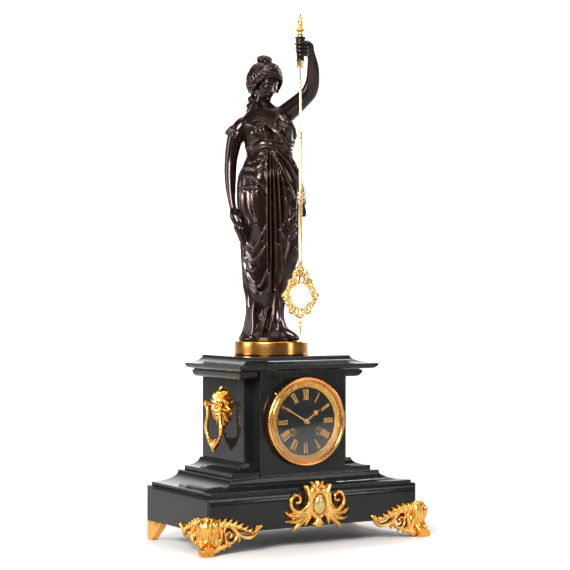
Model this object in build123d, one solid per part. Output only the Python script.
from build123d import *
import math
import os

os.makedirs("parts", exist_ok=True)

# A mantel clock of black slate. A bronze figure stands on a gilt turntable and holds out a pendulum.
# The works rock the turntable by about a degree, and that keeps the pendulum swinging.
# Front is -Y, up is +Z, and the origin is under the middle of the whole clock.

# Clearances
RUN = 0.05
FREE = 0.3
OVER = 3.0

# Plinth
FOOT_H = 27.0
PLINTH_W = 334.0
PLINTH_D = 173.5
PLINTH_H = 48.0
PLINTH_ROUND_H = 12.0
PLINTH_ROUND_FRONT = 6.0
PLINTH_ROUND_SIDE = 1.2
PLINTH_ARRIS = 3.0
PLINTH_WALL = 18.0

# Coved slab on the plinth
COVE_IN_SIDE = 6.6
COVE_IN_FRONT = 4.7
COVE_H = 19.0
COVE_LIP = 4.4
COVE_TOP_LIP = 2.0
COVE_SWEEP_SIDE = 41.4
COVE_SWEEP_FRONT = 18.9

# Surbase moulding under the body
SURBASE_IN_SIDE = 7.0
SURBASE_IN_FRONT = 11.4
SURBASE_H = 17.0
SURBASE_LIP = 6.0
SURBASE_SWEEP_SIDE = 24.0
SURBASE_SWEEP_FRONT = 12.6

# Body slabs and the block that carries the dial
BODY_IN_SIDE = 5.0
BODY_IN_FRONT = 5.4
BODY_IN_BACK = 6.5
BODY_H = 113.0
BODY_WALL = 14.0
BLOCK_W = 136.6
BLOCK_OUT = 19.9

# Bed moulding and cornice
BED_STEP_SIDE = 9.0
BED_STEP_FRONT = 8.8
BED_ROUND = 8.0
BED_H = 9.6
QUIRK_H = 2.2
QUIRK_IN = 3.0
CORNICE_STEP_SIDE = 3.5
CORNICE_STEP_FRONT = 14.7
CORNICE_ROUND = 8.0
CORNICE_ROUND_H = 7.6
CORNICE_COVE_H = 10.5
CORNICE_SWEEP_SIDE = 28.4
CORNICE_SWEEP_FRONT = 30.2

# Feet and the mount on the plinth's face
TOE_OUT_FRONT = 11.5
TOE_OUT_SIDE = 14.0
TOE_R = 13.0
TOE_H = 10.0
FOOT_APEX_RISE = 23.0
FOOT_ARM_FRONT = 84.0
FOOT_ARM_SIDE = 76.0
FOOT_PLATE_T = 6.0
FOOT_SHELF = 24.0
REAR_FOOT_TOP = 32.0
REAR_FOOT_SOLE = 13.0
REAR_FOOT_T = 10.0
CARTOUCHE_W = 100.0
CARTOUCHE_H = 66.0
CARTOUCHE_T = 5.0
CARTOUCHE_DROP = 5.0
CARTOUCHE_RISE = 35.0
BOSS_W = 32.0
BOSS_H = 42.0
BOSS_T = 8.0
CABOCHON_W = 17.0
CABOCHON_H = 27.0
CABOCHON_OUT = 4.0

FOOT_OUTLINE_SHARES = (
    (0.00, 1.00), (0.16, 0.86), (0.34, 0.93), (0.55, 0.84), (0.74, 0.70), (1.00, 0.76),
    (0.97, 0.62), (0.80, 0.52), (0.62, 0.50), (0.50, 0.34), (0.40, 0.22), (0.28, 0.20),
    (0.20, 0.00), (0.00, 0.00),
)
CARTOUCHE_SHARES = (
    (0.00, 0.00), (0.22, 0.02), (0.26, 0.14), (0.52, 0.16), (0.74, 0.02), (0.92, 0.10),
    (1.00, 0.22), (0.84, 0.36), (0.70, 0.40), (0.90, 0.52), (0.92, 0.68), (0.78, 0.78),
    (0.62, 0.68), (0.56, 0.56), (0.44, 0.72), (0.40, 0.88), (0.26, 0.90), (0.16, 0.80),
    (0.14, 0.92), (0.00, 1.00),
)

# Lion masks and drop handles
MASK_W = 47.0
MASK_H = 53.0
MASK_T = 5.0
MASK_OUT = 20.0
MASK_RISE = 74.0
MASK_BACK = 57.0
MASK_LEAVES = 16
MUZZLE_W = 28.0
HANDLE_OUT = 14.0
HANDLE_DROP = 66.0
HANDLE_W = 47.0
HANDLE_EYE_Y = 17.5
HANDLE_EYE_L = 4.5
HANDLE_EYE_R = 4.0
HANDLE_T = 5.0
HANDLE_PIN_R = 2.0
HANDLE_HEAD_R = 3.4
HANDLE_HEAD_L = 2.0
HANDLE_RISE = 3.0
MASK_NOTCH_SHARE = 0.8
HANDLE_OUTER_SHARES = ((0.80, -0.20), (1.00, -0.52), (0.72, -0.80))
HANDLE_INNER_SHARES = ((0.60, -0.20), (0.76, -0.50), (0.46, -0.68))
HANDLE_CROTCH_SHARE = 0.74

# Dial and bezel
DIAL_RISE = 55.0
DIAL_SIGHT_R = 46.2
DIAL_EDGE = 2.8
DIAL_T = 1.5
DIAL_FOOT_R = 1.5
DIAL_FOOT_ANGLES = (90.0, 210.0, 330.0)
SLIP_W = 8.8
SLIP_T = 0.8
SLIP_RISE = 2.4
BEZEL_W = 6.0
BEZEL_OUT = 11.4
BEZEL_LIP = 0.7
BEZEL_ROUND = 2.6
GLASS_T = 1.8
SEAT_T = 2.1
SEAT_WALL = 1.7
SEAT_IN = 2.5
KNUCKLE_R = 2.0
KNUCKLE_L = 7.0
KNUCKLE_PIN_R = 1.0
TAB_R = 2.2
TAB_OUT = 2.0
TAB_ANGLE = 140.0

# Hands
HAND_T = 0.7
HAND_GAP = 0.5
MINUTE_HAND_L = 42.0
HOUR_HAND_L = 27.0
HAND_W = 3.0
HAND_LOOP_R = 3.4
HAND_LOOP_SHARE = 0.72
HAND_BOSS_R = 4.4
MINUTE_ANGLE = 300.0
HOUR_ANGLE = 55.0

# Movement frame
PLATE_R = 44.0
PLATE_T = 2.5
PLATE_GAP = 40.0
PLATE_BACK = 8.2
BORE_GAP = 3.0
PILLAR_R = 3.0
PILLAR_CIRCLE_R = 39.5
PILLAR_ANGLES = (17.0, 60.0, 120.0, 163.0, 270.0)
STRAP_W = 10.0
STRAP_T = 1.2

# Winding arbors and barrels
WIND_X = 20.5
WIND_DROP = 14.0
WIND_HOLE_R = 4.5
WIND_SQUARE = 4.2
WIND_R = 2.5
WIND_PIVOT_R = 1.5
RATCHET_R = 8.0
RATCHET_T = 1.7
BARREL_R = 19.0
BARREL_L = 22.0
GREAT_T = 2.0

# Trains: teeth, modules and wheel thickness
GREAT_TEETH = 84
GREAT_MODULE = 0.5
SECOND_PINION_TEETH = 12
SECOND_TEETH = 72
SECOND_MODULE = 0.42
CENTRE_PINION_TEETH = 10
CENTRE_TEETH = 80
CENTRE_MODULE = 0.38
THIRD_PINION_TEETH = 8
THIRD_TEETH = 86
THIRD_MODULE = 0.32
ESCAPE_PINION_TEETH = 8
ESCAPE_TEETH = 30
ESCAPE_R = 9.0
THIRD_ANGLE = 125.0
CANNON_TEETH = 12
MINUTE_TEETH = 36
MINUTE_MODULE = 0.5
MINUTE_PINION_TEETH = 10
HOUR_TEETH = 40
HOUR_MODULE = 0.48
WHEEL_T = 1.0
PINION_L = 4.0
LEVEL_STEP = 4.0
TRAIN_BACK = 4.5
ARBOR_R = 0.8
CENTRE_R = 1.5
CANNON_R = 2.2
HOUR_PIPE_R = 3.2
POST_R = 1.0

# Tooth shapes, as shares of the tooth pitch and of the module
WHEEL_HALF_SHARES = (0.26, 0.20, 0.06)
PINION_HALF_SHARES = (0.11, 0.13, 0.05)
WHEEL_REACH_SHARES = (-1.25, 0.0, 0.75)
PINION_REACH_SHARES = (-1.35, 0.0, 0.6)
ESCAPE_ROOT_SHARE = 0.8

# Pallets, crutch, bell and hammer
PALLET_RISE = 12.6
PALLET_T = 1.6
PALLET_W = 3.0
PALLET_SPAN = 10.0
PALLET_DROP = 5.0
CRUTCH_W = 3.2
CRUTCH_T = 1.6
CRUTCH_BACK = 3.0
FORK_W = 6.0
FORK_DEEP = 6.0
BELL_R = 32.0
BELL_DEEP = 20.0
BELL_T = 2.0
BELL_BACK = 12.0
BELL_POST_R = 3.0
BELL_SHOULDER = 70.0
HAMMER_X = 30.0
HAMMER_Z = 20.0
HAMMER_ARBOR_R = 1.4
HAMMER_REST_ANGLE = 110.0
HAMMER_HEAD_R = 4.0
HAMMER_HEAD_L = 9.0
HAMMER_ROD_R = 1.2

# Rear door
REAR_HOLE_R = 42.0
REAR_RING_OUT = 6.0
REAR_RING_T = 1.8
REAR_DOOR_R = 47.0
REAR_DOOR_T = 1.2
REAR_PIERCE_R = 3.0
REAR_PIERCE_CIRCLE_R = 24.0
REAR_PIERCES = 12

# Turntable
TURN_Y = 37.0
DRUM_R = 52.0
DRUM_H = 19.0
DRUM_WALL = 4.0
DRUM_RECESS_R = 19.0
DRUM_EDGE = 1.2
BUSH_R = 9.0
BUSH_FLANGE_R = 15.0
BUSH_FLANGE_T = 2.0
SPINDLE_R = 4.0
SPINDLE_HUB_R = 11.0
SPINDLE_DROP = 22.0
ARM_W = 2.6
ARM_H = 3.4

# Figure, its parts as shares of its height
FIGURE_H = 399.0
FIGURE_TURN = -31.66
FOLD_COUNT = 13
FOLD_DEPTH_SHARE = 0.045
SECTION_POINTS = 76
OVAL_POWER = 2.25
FRONT_STEEPNESS = 1.6
# Height, then reach to the figure's right, left, front and back, and the depth of the folds behind.
BODY_SECTION_SHARES = (
    (0.0000, 0.1128, 0.0902, 0.1003, 0.0852, 0),
    (0.0095, 0.1153, 0.0927, 0.1028, 0.0877, 0),
    (0.0195, 0.1078, 0.0802, 0.0977, 0.0852, 0.3),
    (0.0371, 0.0952, 0.0602, 0.0827, 0.0752, 0.6),
    (0.0622, 0.0890, 0.0464, 0.0752, 0.0702, 1),
    (0.0922, 0.0840, 0.0401, 0.0702, 0.0677, 1),
    (0.1223, 0.0827, 0.0426, 0.0677, 0.0677, 1),
    (0.1549, 0.0852, 0.0501, 0.0677, 0.0677, 1),
    (0.1925, 0.0927, 0.0614, 0.0702, 0.0702, 1),
    (0.2301, 0.0965, 0.0727, 0.0727, 0.0727, 1),
    (0.2677, 0.0990, 0.0840, 0.0752, 0.0752, 1),
    (0.3053, 0.1028, 0.0952, 0.0777, 0.0777, 1),
    (0.3429, 0.1040, 0.1003, 0.0789, 0.0789, 1),
    (0.3805, 0.1053, 0.1015, 0.0802, 0.0802, 1),
    (0.4180, 0.1090, 0.1028, 0.0815, 0.0827, 0.9),
    (0.4556, 0.1140, 0.1040, 0.0827, 0.0840, 0.8),
    (0.4932, 0.1178, 0.1053, 0.0827, 0.0852, 0.7),
    (0.5308, 0.1190, 0.1078, 0.0827, 0.0877, 0.6),
    (0.5609, 0.1178, 0.1078, 0.0815, 0.0865, 0.5),
    (0.5885, 0.1128, 0.1003, 0.0777, 0.0827, 0.3),
    (0.6185, 0.1003, 0.0877, 0.0727, 0.0752, 0.2),
    (0.6461, 0.0890, 0.0777, 0.0677, 0.0677, 0.1),
    (0.6712, 0.0890, 0.0764, 0.0664, 0.0652, 0.1),
    (0.6962, 0.0940, 0.0852, 0.0677, 0.0652, 0.2),
    (0.7238, 0.1003, 0.0890, 0.0689, 0.0664, 0.2),
    (0.7514, 0.1053, 0.0865, 0.0677, 0.0664, 0.1),
    (0.7764, 0.1090, 0.0789, 0.0627, 0.0652, 0),
    (0.7965, 0.1040, 0.0702, 0.0551, 0.0602, 0),
    (0.8140, 0.0827, 0.0564, 0.0464, 0.0526, 0),
    (0.8291, 0.0551, 0.0326, 0.0351, 0.0426, 0),
    (0.8416, 0.0376, 0.0163, 0.0276, 0.0326, 0),
)
# Soft forms on the front: place sideways and up, half width, half height, and how far each stands out.
BODY_FORM_SHARES = (
    (-0.0439, 0.7301, 0.0238, 0.0226, 0.0288),
    (0.0439, 0.7363, 0.0238, 0.0226, 0.0263),
    (-0.0100, 0.5885, 0.0501, 0.0451, 0.0113),
    (-0.0451, 0.5033, 0.0301, 0.0852, 0.0238),
    (-0.0376, 0.4030, 0.0251, 0.0501, 0.0150),
    (0.0501, 0.4932, 0.0376, 0.1003, 0.0088),
    (0.0351, 0.2476, 0.0251, 0.1003, 0.0075),
    (-0.0501, 0.2476, 0.0251, 0.1003, 0.0075),
)
# Main folds on the front: points of each crest, sideways and up, then half width and height.
BODY_FOLD_SHARES = (
    ((
        (-0.0125, 0.6687), (-0.0100, 0.5810), (-0.0075, 0.4682),
        (-0.0075, 0.3679), (-0.0050, 0.2476), (-0.0050, 0.1424),
    ), 0.0075, 0.0105),
    ((
        (0.0025, 0.6687), (0.0075, 0.5810), (0.0100, 0.4682),
        (0.0100, 0.3679), (0.0100, 0.2476), (0.0100, 0.1424),
    ), 0.0075, 0.0100),
    (((0.0150, 0.6586), (0.0201, 0.5810), (0.0251, 0.4732), (0.0301, 0.3805)), 0.0075, 0.0105),
    (((0.0201, 0.6687), (0.0426, 0.6060), (0.0652, 0.5383)), 0.0070, 0.0100),
    (((0.0276, 0.6687), (0.0602, 0.6160), (0.0902, 0.5659)), 0.0070, 0.0100),
    (((-0.0852, 0.5634), (-0.0501, 0.5409), (-0.0226, 0.5133), (-0.0125, 0.4932)), 0.0080, 0.0085),
    ((
        (-0.1103, 0.5183), (-0.0902, 0.4682), (-0.0752, 0.4180),
        (-0.0602, 0.3880), (-0.0326, 0.3604),
    ), 0.0075, 0.0090),
    (((-0.1003, 0.4381), (-0.0852, 0.3805), (-0.0702, 0.3303), (-0.0576, 0.3153)), 0.0075, 0.0090),
    (((-0.1103, 0.3980), (-0.0952, 0.3303), (-0.0752, 0.2802), (-0.0602, 0.2526)), 0.0075, 0.0095),
    (((-0.0150, 0.3128), (-0.0376, 0.2777), (-0.0602, 0.2526)), 0.0070, 0.0085),
    ((
        (-0.1128, 0.3679), (-0.1003, 0.2802), (-0.0852, 0.2226),
        (-0.0652, 0.1950), (-0.0451, 0.1825),
    ), 0.0080, 0.0110),
    (((-0.0100, 0.2476), (-0.0251, 0.1975), (-0.0451, 0.1825)), 0.0075, 0.0105),
    ((
        (-0.1153, 0.3629), (-0.1128, 0.2802), (-0.1078, 0.2075),
        (-0.0952, 0.1424), (-0.0752, 0.0872),
    ), 0.0080, 0.0090),
    (((-0.0351, 0.1624), (-0.0351, 0.1048), (-0.0451, 0.0471), (-0.0652, 0.0170)), 0.0080, 0.0085),
    (((-0.0150, 0.1574), (-0.0125, 0.0972), (-0.0201, 0.0421), (-0.0351, 0.0145)), 0.0075, 0.0090),
    (((0.0100, 0.1524), (0.0100, 0.0972), (0.0050, 0.0471), (-0.0050, 0.0145)), 0.0075, 0.0085),
    (((0.0401, 0.3779), (0.0351, 0.3178), (0.0301, 0.2476), (0.0276, 0.1925)), 0.0070, 0.0075),
    (((0.0852, 0.3178), (0.0777, 0.2476), (0.0652, 0.1799)), 0.0075, 0.0070),
)
HOLLOW_SHARE = 0.74
NECK_SHARES = (-0.0250, 0.0100, 0.7990, 0.0340)
NECK_TOP_SHARES = (-0.0200, -0.0020, 0.8790, 0.0300)
SKULL_SHARES = (-0.0200, -0.0125, 0.9030, 0.0576, 0.0650, 0.0750)
BUN_SHARES = (-0.0240, -0.0100, 0.9800, 0.0250, 0.0250, 0.0210)
SASH_SHARES = ((0.0902, -0.0150, 0.5985), (0.1053, -0.0075, 0.5333), (0.1078, -0.0025, 0.4632))
SASH_R_SHARES = (0.0200, 0.0225, 0.0175)
FOOT_SHARES = ((0.0401, -0.0551, 0.0371), (0.0652, -0.0702, 0.0246), (0.0902, -0.0840, 0.0125))
FOOT_R_SHARES = (0.0200, 0.0170, 0.0100)
TRAIN_SHARES = (
    (-0.0551, -0.0301, 0.1925), (-0.0702, -0.0426, 0.1123),
    (-0.0752, -0.0526, 0.0521), (-0.0802, -0.0627, 0.0221),
)
TRAIN_R_SHARES = (0.0125, 0.0150, 0.0170, 0.0150)
LOW_ARM_SHARES = (
    (-0.1003, 0.0050, 0.7689),
    (-0.1253, 0.0050, 0.7238),
    (-0.1416, 0.0050, 0.6386),
    (-0.1429, -0.0100, 0.5383),
    (-0.1328, -0.0326, 0.4607),
    (-0.1178, -0.0501, 0.4130),
    (-0.1053, -0.0551, 0.3579),
)
LOW_ARM_R_SHARES = (0.0326, 0.0296, 0.0231, 0.0180, 0.0130, 0.0213, 0.0100)
HIGH_SHOULDER_SHARES = (0.0501, -0.0075, 0.7990)
HIGH_ELBOW_SHARES = (0.1378, -0.0652, 0.8742)
HIGH_FOREARM_SHARES = (0.1466, -0.1078, 0.9469)
HIGH_WRIST_OUT_SHARES = (0.0326, 0.0175, 0.0)
HIGH_ARM_R_SHARES = (0.0363, 0.0286, 0.0226, 0.0160, 0.0190)

# Torch that the raised hand holds, and what hangs from it
PENDULUM_Y = -40.0
TORCH_FOOT_RISE = 385.0
TORCH_H = 32.5
TORCH_FOOT_R = 5.2
TORCH_TOP_R = 7.8
TORCH_WAIST_SHARE = 0.72
TORCH_RINGS = 4
SPIRE_H = 32.5
SPIRE_DISC_R = 7.0
SPIRE_NECK_R = 3.4
SPIRE_DISC_SHARES = (0.22, 0.38)
SPIRE_CONE_SHARE = 0.52
COCK_H = 10.0
COCK_W = 5.2
COCK_D = 10.0
COCK_CHEEK = 2.0
COCK_PIN_R = 0.6
COCK_PIN_DROP = 7.0
SPRING_KNUCKLE_R = 1.2
SPRING_T = 0.6
SPRING_L = 18.0
ROD_HOOK_R = 2.6
ROD_HOOK_L = 12.0
ROD_UPPER_R = 1.75
ROD_LOWER_R = 2.65
ROD_UPPER_L = 70.0
ROD_LOWER_L = 173.2
ROD_COLLAR_R = 3.6
ROD_COLLAR_L = 8.0
ROD_STAR_R = 6.0
ROD_STAR_DROP = 142.0
ROD_STAR_L = 17.0
BOB_W = 60.0
BOB_H = 71.0
BOB_T = 6.0
BOB_MIRROR_R = 15.5
BOB_MIRROR_SHARE = 0.585
BOB_MIRROR_T = 2.0
BOB_TIP_L = 27.0
BOB_TIP_R = 3.2

BOB_SHARES = (
    (0.00, 1.00), (0.22, 0.95), (0.42, 0.84), (0.48, 0.74), (0.64, 0.70), (0.78, 0.60),
    (1.00, 0.46), (0.82, 0.36), (0.70, 0.22), (0.44, 0.10), (0.28, 0.03), (0.00, 0.00),
)

# Places worked out from the sizes above
BACK_Y = (PLINTH_D + TOE_OUT_FRONT) / 2
PLINTH_FRONT = BACK_Y - PLINTH_D
PLINTH_HALF = PLINTH_W / 2
COVE_HALF = PLINTH_HALF - COVE_IN_SIDE
COVE_FRONT = PLINTH_FRONT + COVE_IN_FRONT
SURBASE_HALF = COVE_HALF - COVE_SWEEP_SIDE - SURBASE_IN_SIDE
SURBASE_FRONT = COVE_FRONT + COVE_SWEEP_FRONT + SURBASE_IN_FRONT
BODY_HALF = SURBASE_HALF - SURBASE_SWEEP_SIDE - BODY_IN_SIDE
BODY_FRONT = SURBASE_FRONT + SURBASE_SWEEP_FRONT + BODY_IN_FRONT
BODY_BACK = BACK_Y - BODY_IN_BACK
BLOCK_FRONT = BODY_FRONT - BLOCK_OUT
WALL_BACK = BODY_FRONT + BODY_WALL
BED_HALF = BODY_HALF + BED_STEP_SIDE
BED_FRONT = BODY_FRONT - BED_STEP_FRONT
CORNICE_HALF = BED_HALF + BED_ROUND + CORNICE_STEP_SIDE
CORNICE_FRONT = BED_FRONT - BED_ROUND - CORNICE_STEP_FRONT
PLINTH_Z = FOOT_H
COVE_Z = PLINTH_Z + PLINTH_H
SURBASE_Z = COVE_Z + COVE_H
BODY_Z = SURBASE_Z + SURBASE_H
BED_Z = BODY_Z + BODY_H
CORNICE_Z = BED_Z + BED_H + QUIRK_H
TOP_Z = CORNICE_Z + CORNICE_ROUND_H + CORNICE_COVE_H
DIAL_Z = BODY_Z + DIAL_RISE
BORE_R = PLATE_R + BORE_GAP
BEZEL_FRONT = BLOCK_FRONT - BEZEL_OUT
GLASS_BACK = BEZEL_FRONT + BEZEL_LIP + GLASS_T
SLIP_R = DIAL_SIGHT_R + SLIP_W
BEZEL_R = SLIP_R + BEZEL_W
SEAT_FRONT = BLOCK_FRONT - SEAT_T
SEAT_R = BEZEL_R - SEAT_IN
DIAL_R = DIAL_SIGHT_R + DIAL_EDGE
DIAL_FRONT = GLASS_BACK + SLIP_RISE + SLIP_T + FREE
DIAL_BACK = DIAL_FRONT + DIAL_T
HINGE_X = BEZEL_R + KNUCKLE_R + FREE
HINGE_Y = BLOCK_FRONT - KNUCKLE_R - FREE
FRONT_PLATE_Y = DIAL_BACK + PLATE_BACK + WHEEL_T + FREE + FREE
FRONT_PLATE_BACK = FRONT_PLATE_Y + PLATE_T
BACK_PLATE_Y = FRONT_PLATE_BACK + PLATE_GAP
BACK_PLATE_BACK = BACK_PLATE_Y + PLATE_T
THIRD_WHEEL_Y = BACK_PLATE_Y - TRAIN_BACK
CENTRE_WHEEL_Y = THIRD_WHEEL_Y - LEVEL_STEP
SECOND_WHEEL_Y = CENTRE_WHEEL_Y - LEVEL_STEP
BARREL_BACK = SECOND_WHEEL_Y - LEVEL_STEP + WHEEL_T
BARREL_FRONT = BARREL_BACK - BARREL_L
DRUM_Z = TOP_Z + FREE
FIGURE_Z = DRUM_Z + DRUM_H
TORCH_Z = FIGURE_Z + TORCH_FOOT_RISE
COCK_Z = TORCH_Z - COCK_H
PIVOT_Z = TORCH_Z - COCK_PIN_DROP
ARM_Z = BED_Z - FREE - ARM_H
CRUTCH_Y = BACK_PLATE_BACK + CRUTCH_BACK
CRUTCH_TOP = ARM_Z - DIAL_Z + ARM_H - FREE
HOUR_HAND_Y = DIAL_FRONT - HAND_GAP - HAND_T
MINUTE_HAND_Y = HOUR_HAND_Y - HAND_GAP - HAND_T
REAR_RING_BACK = BODY_BACK + REAR_RING_T
REAR_DOOR_Y = REAR_RING_BACK + FREE
REAR_HINGE_X = REAR_HOLE_R + REAR_RING_OUT + KNUCKLE_R + FREE
REAR_HINGE_Y = BODY_BACK + KNUCKLE_R + FREE
MASK_Y = BODY_FRONT + MASK_BACK
MASK_Z = BODY_Z + MASK_RISE
HANDLE_X = BODY_HALF + HANDLE_OUT
HANDLE_Z = MASK_Z + HANDLE_RISE


# Shared shapes
def face_of(*points):
    """A flat face from its corner points."""
    return make_face(Polyline(*points, close=True))


def along_y(face, start, stop):
    """A face drawn as (x, z), carried from y = start to y = stop."""
    return Pos(0, stop, 0) * extrude(Plane.XZ * face, stop - start)


def along_x(face, start, stop):
    """A face drawn as (y, z), carried from x = start to x = stop."""
    return Pos(start, 0, 0) * extrude(Plane.YZ * face, stop - start)


def along_z(face, start, stop):
    """A face drawn as (x, y), carried from z = start to z = stop."""
    return Pos(0, 0, start) * extrude(face, stop - start)


def block(x0, x1, y0, y1, z0, z1):
    """A box between two opposite corners."""
    return Pos((x0 + x1) / 2, (y0 + y1) / 2, (z0 + z1) / 2) * Box(x1 - x0, y1 - y0, z1 - z0)


def rod_y(radius, start, stop, x=0, z=0):
    """A round bar along Y."""
    return Pos(x, (start + stop) / 2, z) * Rot(90, 0, 0) * Cylinder(radius, stop - start)


def rod_z(radius, start, stop, x=0, y=0):
    """A round bar along Z."""
    return Pos(x, y, (start + stop) / 2) * Cylinder(radius, stop - start)


def turned_z(points, x=0, y=0):
    """A piece turned about an upright axis, from points given as (radius, z)."""
    return Pos(x, y, 0) * revolve(Plane.XZ * face_of(*points), Axis.Z)


def turned_y(points, z=0):
    """A piece turned about a level axis along Y, from points given as (radius, y)."""
    return Pos(0, 0, z) * revolve(face_of(*points), Axis.Y)


def egg(centre, radii):
    """An ellipsoid with its half-axes along X, Y and Z."""
    wide, deep, tall = radii
    return Pos(*centre) * scale(Sphere(wide), by=(1, deep / wide, tall / wide))


def pair(left, right):
    """Two like pieces kept as separate solids under one name."""
    return Compound(children=[one_solid(left), one_solid(right)])


def one_solid(shape):
    """The single solid of a shape."""
    return shape.solids().sort_by(SortBy.VOLUME)[-1]


# Slate mouldings: each knot is (side reach, front reach, z, kind of the stretch that leads to it)
def stretch(start, stop, kind):
    """One stretch of a moulding's edge: straight, or a quarter of an ellipse."""
    if kind == "line":
        return Line(start, stop)
    centre = (start[0], stop[1]) if kind == "under" else (stop[0], start[1])
    wide = abs(stop[0] - start[0])
    tall = abs(stop[1] - start[1])
    first = math.degrees(math.atan2(start[1] - centre[1], start[0] - centre[0]))
    last = math.degrees(math.atan2(stop[1] - centre[1], stop[0] - centre[0]))
    turn = (last - first + 180) % 360 - 180
    return EllipticalCenterArc(centre, wide, tall, start_angle=first, arc_size=turn)


def edge(knots, axis):
    """The edge of a moulding on one side, from its foot to its top."""
    places = [(knot[axis], knot[2]) for knot in knots]
    return [stretch(a, b, knot[3]) for a, b, knot in zip(places, places[1:], knots[1:])]


def moulded(knots, back):
    """A slab moulded on its front and sides and flat behind."""
    first, last = knots[0], knots[-1]
    side = edge(knots, 0)
    other = [mirror(curve, Plane.YZ) for curve in side]
    foot = Line((-first[0], first[2]), (first[0], first[2]))
    top = Line((-last[0], last[2]), (last[0], last[2]))
    plan_x = make_face([*side, *other, foot, top])
    front = [mirror(curve, Plane.YZ) for curve in edge(knots, 1)]
    foot = Line((-first[1], first[2]), (back, first[2]))
    rear = Line((back, first[2]), (back, last[2]))
    top = Line((back, last[2]), (-last[1], last[2]))
    plan_y = make_face([*front, foot, rear, top])
    reach = max(knot[0] for knot in knots) + OVER
    deep = max(knot[1] for knot in knots) + OVER
    return along_y(plan_x, -deep, back + OVER) & along_x(plan_y, -reach, reach)


def plinth():
    """The plinth's four slabs: front, left, right and back."""
    top = PLINTH_Z + PLINTH_H
    shoulder = top - PLINTH_ROUND_H
    front = -PLINTH_FRONT
    knots = (
        (PLINTH_HALF, front, PLINTH_Z, "line"),
        (PLINTH_HALF, front, shoulder, "line"),
        (PLINTH_HALF - PLINTH_ROUND_SIDE, front - PLINTH_ROUND_FRONT, top, "over"),
    )
    whole = moulded(knots, BACK_Y)
    cut = PLINTH_HALF - PLINTH_ARRIS
    plan = face_of(
        (-PLINTH_HALF, BACK_Y),
        (-PLINTH_HALF, PLINTH_FRONT + PLINTH_ARRIS),
        (-cut, PLINTH_FRONT),
        (cut, PLINTH_FRONT),
        (PLINTH_HALF, PLINTH_FRONT + PLINTH_ARRIS),
        (PLINTH_HALF, BACK_Y),
    )
    whole = whole & along_z(plan, PLINTH_Z - OVER, top + OVER)
    inner_front = PLINTH_FRONT + PLINTH_WALL
    inner_back = BACK_Y - PLINTH_WALL
    inner = PLINTH_HALF - PLINTH_WALL
    far = PLINTH_HALF + OVER
    low, high = PLINTH_Z - OVER, top + OVER
    return {
        "plinth_front": whole & block(-far, far, PLINTH_FRONT - OVER, inner_front, low, high),
        "plinth_ends": pair(
            whole & block(-far, -inner, inner_front, inner_back, low, high),
            whole & block(inner, far, inner_front, inner_back, low, high),
        ),
        "plinth_back": block(-PLINTH_HALF, PLINTH_HALF, inner_back, BACK_Y, PLINTH_Z, top),
    }


def cove_slab():
    """The broad slab that sweeps in from the plinth."""
    lip = COVE_Z + COVE_LIP
    crown = SURBASE_Z - COVE_TOP_LIP
    front = -COVE_FRONT
    half_top = COVE_HALF - COVE_SWEEP_SIDE
    front_top = front - COVE_SWEEP_FRONT
    knots = (
        (COVE_HALF, front, COVE_Z, "line"),
        (COVE_HALF, front, lip, "line"),
        (half_top, front_top, crown, "under"),
        (half_top, front_top, SURBASE_Z, "line"),
    )
    return moulded(knots, BACK_Y)


def dial_block_box(grow):
    """The room that the dial block takes up."""
    half = BLOCK_W / 2
    return block(-half, half, BLOCK_FRONT - grow, BODY_FRONT, SURBASE_Z - grow, CORNICE_Z + grow)


def surbase_moulding():
    """The coved slab that the body stands on, notched for the dial block."""
    lip = SURBASE_Z + SURBASE_LIP
    front = -SURBASE_FRONT
    half_top = SURBASE_HALF - SURBASE_SWEEP_SIDE
    front_top = front - SURBASE_SWEEP_FRONT
    knots = (
        (SURBASE_HALF, front, SURBASE_Z, "line"),
        (SURBASE_HALF, front, lip, "line"),
        (half_top, front_top, BODY_Z, "under"),
    )
    return moulded(knots, BODY_BACK) - dial_block_box(OVER)


def dial_bore():
    """The round way through the front that the movement sits in."""
    return rod_y(BORE_R, BLOCK_FRONT - OVER, WALL_BACK + OVER, z=DIAL_Z)


def dial_block():
    """The thick block in front of the body, bored for the movement."""
    return dial_block_box(0) - dial_bore()


def front_slab():
    """The body's front wall."""
    return block(-BODY_HALF, BODY_HALF, BODY_FRONT, WALL_BACK, BODY_Z, BED_Z) - dial_bore()


def side_slab(side):
    """One side wall of the body."""
    x0, x1 = sorted((side * BODY_HALF, side * (BODY_HALF - BODY_WALL)))
    return block(x0, x1, WALL_BACK, BODY_BACK - BODY_WALL, BODY_Z, BED_Z)


def back_slab():
    """The body's back wall with its round door opening."""
    wall = block(-BODY_HALF, BODY_HALF, BODY_BACK - BODY_WALL, BODY_BACK, BODY_Z, BED_Z)
    return wall - rod_y(BORE_R, BODY_BACK - BODY_WALL - OVER, BODY_BACK + OVER, z=DIAL_Z)


def bush_hole():
    """The hole down through the top of the case for the turntable's bush."""
    return rod_z(BUSH_R, BED_Z - OVER, TOP_Z + OVER, y=TURN_Y)


def bed_moulding():
    """The rounded slab under the cornice, notched for the dial block."""
    top = BED_Z + BED_H
    front = -BED_FRONT
    wide = BED_HALF + BED_ROUND
    deep = front + BED_ROUND
    knots = (
        (BED_HALF, front, BED_Z, "line"),
        (wide, deep, top, "under"),
        (wide - QUIRK_IN, deep - QUIRK_IN, top, "line"),
        (wide - QUIRK_IN, deep - QUIRK_IN, CORNICE_Z, "line"),
    )
    return moulded(knots, BODY_BACK) - dial_block_box(OVER) - bush_hole()


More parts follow.
